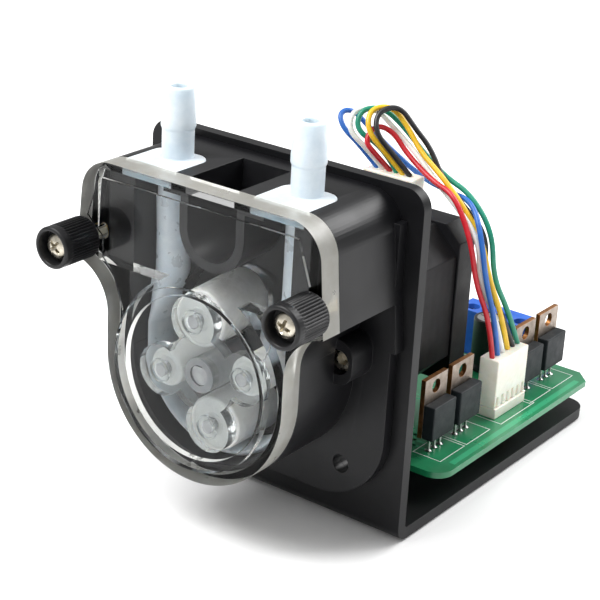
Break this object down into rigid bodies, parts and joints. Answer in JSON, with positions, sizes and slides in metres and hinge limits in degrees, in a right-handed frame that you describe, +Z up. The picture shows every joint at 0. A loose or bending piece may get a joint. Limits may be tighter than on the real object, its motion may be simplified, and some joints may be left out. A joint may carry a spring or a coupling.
{
  "type": "peristaltic pump",
  "caption": "Peristaltic pump head with clear cover, roller rotor and hose barbs, driven by a stepper motor on an L bracket with a driver board on its foot.",
  "frame": {"origin": "middle of the bracket foot's underside", "axes": "+Z up, -Y out of the clear cover, X along the plate; the pump axis is parallel to Y"},
  "size_m": [0.078, 0.1365, 0.102],
  "materials": {
    "bracket_black": "matt powder coat",
    "housing_black": "satin moulded plastic",
    "clear_cover": "polished clear polycarbonate",
    "barb_white": "translucent natural polypropylene",
    "tube_clear": "translucent silicone",
    "rotor_clear": "translucent moulded plastic",
    "hub_grey": "satin",
    "screw_steel": "bright zinc plate",
    "pin_steel": "ground",
    "roller_white": "acetal, turned",
    "knob_black": "fine knurl",
    "insert_brass": "machined",
    "motor_cap_black": "black painted casting",
    "motor_steel_black": "black painted laminations",
    "core_steel": "ground laminations",
    "connector_white": "natural nylon",
    "pin_tin": "tin plate",
    "board_green": "glossy solder mask",
    "terminal_blue": "satin",
    "package_black": "moulded epoxy",
    "tab_nickel": "tinned copper",
    "wire_red": "vinyl",
    "wire_blue": "vinyl",
    "wire_white": "vinyl",
    "wire_yellow": "vinyl",
    "wire_black": "vinyl",
    "wire_green": "vinyl"
  },
  "bodies": {
    "frame": {"board_screws": "screw_steel", "board_standoffs": "insert_brass", "capacitor": "package_black", "circuit_board": "board_green", "connector_header": "connector_white", "connector_pins": "pin_tin", "connector_plug": "connector_white", "driver_chip": "package_black", "head_nuts": "screw_steel", "head_screws": "screw_steel", "hose_barb_left": "barb_white", "hose_barb_right": "barb_white", "l_bracket": "bracket_black", "motor_bearings": "screw_steel", "motor_case_screws": "screw_steel", "motor_front_cap": "motor_cap_black", "motor_mount_screws": "screw_steel", "motor_plug": "connector_white", "motor_rear_cap": "motor_cap_black", "motor_stator": "motor_steel_black", "pump_housing": "housing_black", "pump_tube": "tube_clear", "terminal_block": "terminal_blue", "terminal_screws": "pin_tin", "threaded_inserts": "insert_brass", "transistor_case_1": "package_black", "transistor_case_2": "package_black", "transistor_case_3": "package_black", "transistor_case_4": "package_black", "transistor_metal_1": "tab_nickel", "transistor_metal_2": "tab_nickel", "transistor_metal_3": "tab_nickel", "transistor_metal_4": "tab_nickel", "wire_black": "wire_black", "wire_blue": "wire_blue", "wire_green": "wire_green", "wire_red": "wire_red", "wire_white": "wire_white", "wire_yellow": "wire_yellow"},
    "rotor": {"motor_shaft": "screw_steel", "motor_rotor_core": "core_steel", "rotor_hub": "hub_grey", "hub_set_screw": "screw_steel", "rotor_front_plate": "rotor_clear", "rotor_rear_plate": "rotor_clear", "roller_pin_top": "pin_steel", "roller_pin_bottom": "pin_steel", "roller_pin_left": "pin_steel", "roller_pin_right": "pin_steel"},
    "roller_top": {"pump_roller_top": "roller_white"},
    "roller_bottom": {"pump_roller_bottom": "roller_white"},
    "guide_left": {"guide_roller_left": "roller_white"},
    "guide_right": {"guide_roller_right": "roller_white"},
    "cover": {"front_cover": "clear_cover"},
    "thumb_feed_left": {"thumb_washer_left": "screw_steel"},
    "thumb_feed_right": {"thumb_washer_right": "screw_steel"},
    "thumb_left": {"thumb_knob_left": "knob_black", "thumb_screw_left": "screw_steel"},
    "thumb_right": {"thumb_knob_right": "knob_black", "thumb_screw_right": "screw_steel"}
  },
  "joints": [
    {"name": "rotor_spin", "type": "hinge", "parent": "frame", "child": "rotor", "pos_m": [0, -0.0465, 0.0406], "axis": [0, -1, 0], "continuous": true},
    {"name": "roller_top_spin", "type": "hinge", "parent": "rotor", "child": "roller_top", "pos_m": [-0.0026, -0.0619, 0.05283], "axis": [0, -1, 0], "continuous": true},
    {"name": "roller_bottom_spin", "type": "hinge", "parent": "rotor", "child": "roller_bottom", "pos_m": [0.0026, -0.0619, 0.02837], "axis": [0, -1, 0], "continuous": true},
    {"name": "guide_left_spin", "type": "hinge", "parent": "rotor", "child": "guide_left", "pos_m": [-0.01174, -0.0619, 0.0381], "axis": [0, -1, 0], "continuous": true},
    {"name": "guide_right_spin", "type": "hinge", "parent": "rotor", "child": "guide_right", "pos_m": [0.01174, -0.0619, 0.0431], "axis": [0, -1, 0], "continuous": true},
    {"name": "cover_lift_off", "type": "slide", "parent": "frame", "child": "cover", "axis": [0, -1, 0], "range_m": [0, 0.03]},
    {"name": "thumb_left_spin", "type": "hinge", "parent": "thumb_feed_left", "child": "thumb_left", "pos_m": [-0.0323, -0.0771, 0.0665], "axis": [0, -1, 0], "range_deg": [0, 4720]},
    {"name": "thumb_left_feed", "type": "slide", "parent": "cover", "child": "thumb_feed_left", "axis": [0, -1, 0], "range_m": [0, 0.0065]},
    {"name": "thumb_right_spin", "type": "hinge", "parent": "thumb_feed_right", "child": "thumb_right", "pos_m": [0.0323, -0.0771, 0.0665], "axis": [0, -1, 0], "range_deg": [0, 4720]},
    {"name": "thumb_right_feed", "type": "slide", "parent": "cover", "child": "thumb_feed_right", "axis": [0, -1, 0], "range_m": [0, 0.0065]}
  ],
  "couplings": [
    {"joint": "roller_top_spin", "follows": "rotor_spin", "ratio": -2.8657},
    {"joint": "roller_bottom_spin", "follows": "rotor_spin", "ratio": -2.8657},
    {"joint": "thumb_left_spin", "follows": "thumb_left_feed", "rad_per_m": 12566},
    {"joint": "thumb_right_spin", "follows": "thumb_right_feed", "rad_per_m": 12566}
  ]
}
